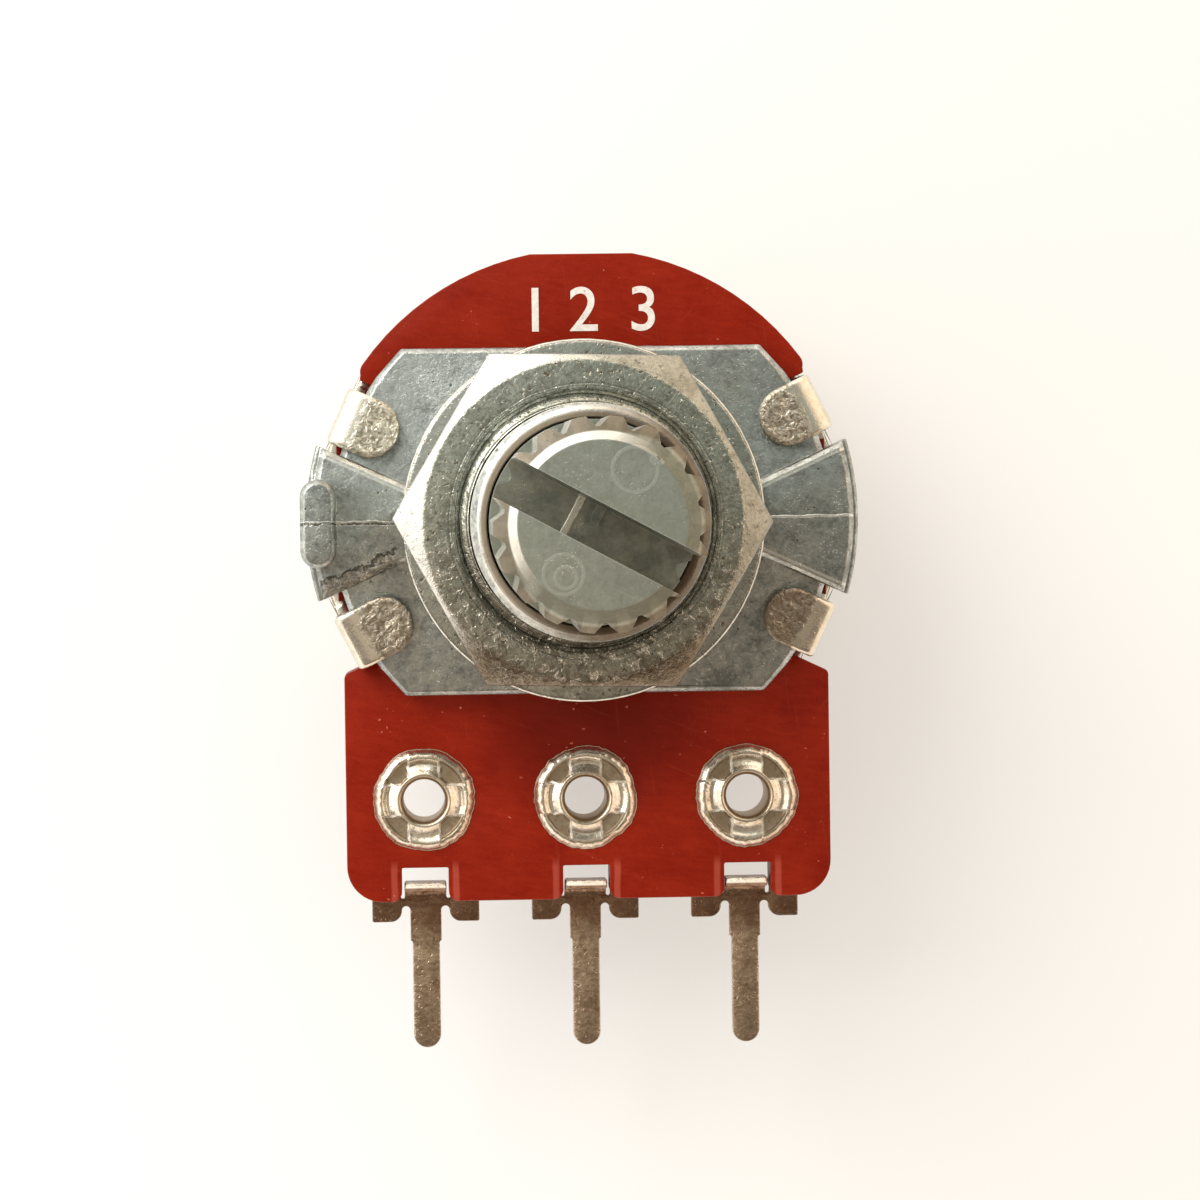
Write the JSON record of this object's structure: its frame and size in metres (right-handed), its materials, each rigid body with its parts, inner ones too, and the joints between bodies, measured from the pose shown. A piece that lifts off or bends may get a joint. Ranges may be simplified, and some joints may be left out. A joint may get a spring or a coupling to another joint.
{
  "type": "center detent potentiometer",
  "caption": "Single-gang rotary potentiometer with a threaded bushing, knurled slotted shaft, centre detent and a row of solder pins on its board.",
  "frame": {"origin": "on the shaft axis, on the back face of the can, which is the face it rests on", "axes": "+Z along the shaft to its tip; the solder pins point to -Y; the locating lug is on -X"},
  "size_m": [0.0171, 0.0247, 0.0244],
  "materials": {
    "zinc_casting": "as-cast zinc alloy, fine mottled grain, small pits",
    "zinc_shaft": "zinc alloy, satin",
    "plated_nut": "dull nickel plate over a turned blank",
    "plated_washer": "dull nickel plate",
    "red_phenolic": "red-brown phenolic laminate, satin",
    "carbon_ink": "printed carbon",
    "silver_ink": "printed silver",
    "tinned_terminal": "tin plate, warm reflections",
    "nickel_eyelet": "bright nickel plate",
    "nickel_steel": "bright nickel plate, hammered where folded",
    "spring_steel": "spring strip",
    "black_moulding": "moulded phenolic",
    "spring_bronze": "spring bronze"
  },
  "bodies": {
    "housing": {"front_plate": "zinc_casting", "hex_nut": "plated_nut", "flat_washer": "plated_washer", "board": "red_phenolic", "resistance_track": "carbon_ink", "silver_print": "silver_ink", "terminal_left": "tinned_terminal", "terminal_middle": "tinned_terminal", "terminal_right": "tinned_terminal", "eyelet_left": "nickel_eyelet", "eyelet_middle": "nickel_eyelet", "eyelet_right": "nickel_eyelet", "rear_cover": "nickel_steel", "detent_spring": "spring_steel"},
    "shaft_assembly": {"shaft": "zinc_shaft", "rotor": "black_moulding", "wiper": "spring_bronze"}
  },
  "joints": [
    {"name": "shaft_turn", "type": "hinge", "parent": "housing", "child": "shaft_assembly", "pos_m": [0, 0, 0.0094], "axis": [0, 0, 1], "range_deg": [-303, 0]}
  ]
}
